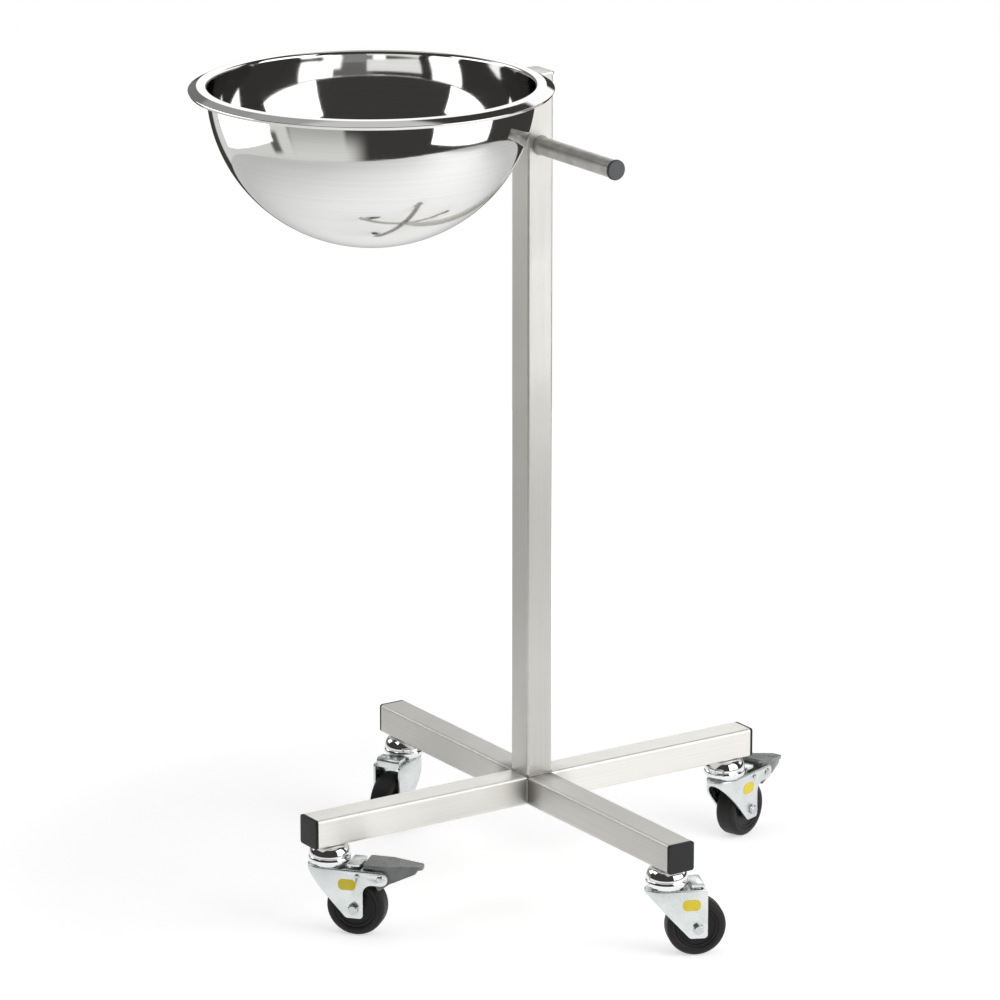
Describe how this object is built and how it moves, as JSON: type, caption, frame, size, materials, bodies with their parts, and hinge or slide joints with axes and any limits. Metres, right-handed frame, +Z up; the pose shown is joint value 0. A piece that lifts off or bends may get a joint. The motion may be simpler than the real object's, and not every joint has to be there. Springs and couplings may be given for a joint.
{
  "type": "basin stand",
  "caption": "Wheeled stand with a square tube post on a cross base, swivel castors with brake pedals, a push handle and a round polished basin hung by its rim.",
  "frame": {"origin": "on the floor under the axis of the post", "axes": "+Z up; the basin hangs towards -X and the handle points along -Y"},
  "size_m": [0.7419, 0.5737, 0.9088],
  "materials": {
    "satin_steel": "satin-brushed stainless tube",
    "polished_steel": "mirror-polished stainless sheet",
    "black_plastic": "moulded black plastic",
    "bright_zinc": "bright zinc-plated pressed steel",
    "chrome": "chrome-plated turned steel",
    "black_rubber": "solid dark rubber",
    "grey_plastic": "moulded grey plastic"
  },
  "bodies": {
    "frame": {"post": "satin_steel", "post_top_plate": "satin_steel", "long_arm": "satin_steel", "front_arm": "satin_steel", "back_arm": "satin_steel", "handle": "satin_steel", "handle_plug": "black_plastic", "basin_ring": "satin_steel", "arm_plug_front_left": "black_plastic", "swivel_cup_front_left": "chrome", "king_bolt_front_left": "bright_zinc", "king_nut_front_left": "bright_zinc", "arm_plug_front_right": "black_plastic", "swivel_cup_front_right": "chrome", "king_bolt_front_right": "bright_zinc", "king_nut_front_right": "bright_zinc", "arm_plug_back_left": "black_plastic", "swivel_cup_back_left": "chrome", "king_bolt_back_left": "bright_zinc", "king_nut_back_left": "bright_zinc", "arm_plug_back_right": "black_plastic", "swivel_cup_back_right": "chrome", "king_bolt_back_right": "bright_zinc", "king_nut_back_right": "bright_zinc"},
    "basin": {"basin": "polished_steel"},
    "swivel_front_left": {"fork_front_left": "bright_zinc", "ball_race_front_left": "chrome", "axle_bolt_front_left": "bright_zinc", "axle_nut_front_left": "bright_zinc", "axle_bush_front_left": "bright_zinc", "pedal_pin_front_left": "bright_zinc", "brake_stop_front_left": "bright_zinc"},
    "wheel_front_left": {"wheel_core_front_left": "black_plastic", "tyre_front_left": "black_rubber"},
    "pedal_front_left": {"brake_pedal_front_left": "grey_plastic"},
    "swivel_front_right": {"fork_front_right": "bright_zinc", "ball_race_front_right": "chrome", "axle_bolt_front_right": "bright_zinc", "axle_nut_front_right": "bright_zinc", "axle_bush_front_right": "bright_zinc"},
    "wheel_front_right": {"wheel_core_front_right": "black_plastic", "tyre_front_right": "black_rubber"},
    "swivel_back_left": {"fork_back_left": "bright_zinc", "ball_race_back_left": "chrome", "axle_bolt_back_left": "bright_zinc", "axle_nut_back_left": "bright_zinc", "axle_bush_back_left": "bright_zinc"},
    "wheel_back_left": {"wheel_core_back_left": "black_plastic", "tyre_back_left": "black_rubber"},
    "swivel_back_right": {"fork_back_right": "bright_zinc", "ball_race_back_right": "chrome", "axle_bolt_back_right": "bright_zinc", "axle_nut_back_right": "bright_zinc", "axle_bush_back_right": "bright_zinc", "pedal_pin_back_right": "bright_zinc", "brake_stop_back_right": "bright_zinc"},
    "wheel_back_right": {"wheel_core_back_right": "black_plastic", "tyre_back_right": "black_rubber"},
    "pedal_back_right": {"brake_pedal_back_right": "grey_plastic"}
  },
  "joints": [
    {"name": "basin_lift", "type": "slide", "parent": "frame", "child": "basin", "axis": [0, 0, 1], "range_m": [0, 0.2]},
    {"name": "swivel_turn_front_left", "type": "hinge", "parent": "frame", "child": "swivel_front_left", "pos_m": [-0.25596, 0, 0.0753], "axis": [0, 0, 1], "continuous": true},
    {"name": "wheel_roll_front_left", "type": "hinge", "parent": "swivel_front_left", "child": "wheel_front_left", "pos_m": [-0.23567, -0.02277, 0.03175], "axis": [0.7466, 0.6652, 0], "continuous": true},
    {"name": "brake_press_front_left", "type": "hinge", "parent": "swivel_front_left", "child": "pedal_front_left", "pos_m": [-0.21585, -0.04502, 0.06751], "axis": [0.7466, 0.6652, 0], "range_deg": [0, 12]},
    {"name": "swivel_turn_front_right", "type": "hinge", "parent": "frame", "child": "swivel_front_right", "pos_m": [0, -0.25596, 0.0753], "axis": [0, 0, 1], "continuous": true},
    {"name": "wheel_roll_front_right", "type": "hinge", "parent": "swivel_front_right", "child": "wheel_front_right", "pos_m": [0.02797, -0.26812, 0.03175], "axis": [0.3987, 0.9171, 0], "continuous": true},
    {"name": "swivel_turn_back_left", "type": "hinge", "parent": "frame", "child": "swivel_back_left", "pos_m": [0, 0.25596, 0.0753], "axis": [0, 0, 1], "continuous": true},
    {"name": "wheel_roll_back_left", "type": "hinge", "parent": "swivel_back_left", "child": "wheel_back_left", "pos_m": [-0.02686, 0.2415, 0.03175], "axis": [0.4741, -0.8805, 0], "continuous": true},
    {"name": "swivel_turn_back_right", "type": "hinge", "parent": "frame", "child": "swivel_back_right", "pos_m": [0.25596, 0, 0.0753], "axis": [0, 0, 1], "continuous": true},
    {"name": "wheel_roll_back_right", "type": "hinge", "parent": "swivel_back_right", "child": "wheel_back_right", "pos_m": [0.28462, 0.01043, 0.03175], "axis": [-0.342, 0.9397, 0], "continuous": true},
    {"name": "brake_press_back_right", "type": "hinge", "parent": "swivel_back_right", "child": "pedal_back_right", "pos_m": [0.31262, 0.02062, 0.06751], "axis": [-0.342, 0.9397, 0], "range_deg": [-11.5, 0.5]}
  ]
}
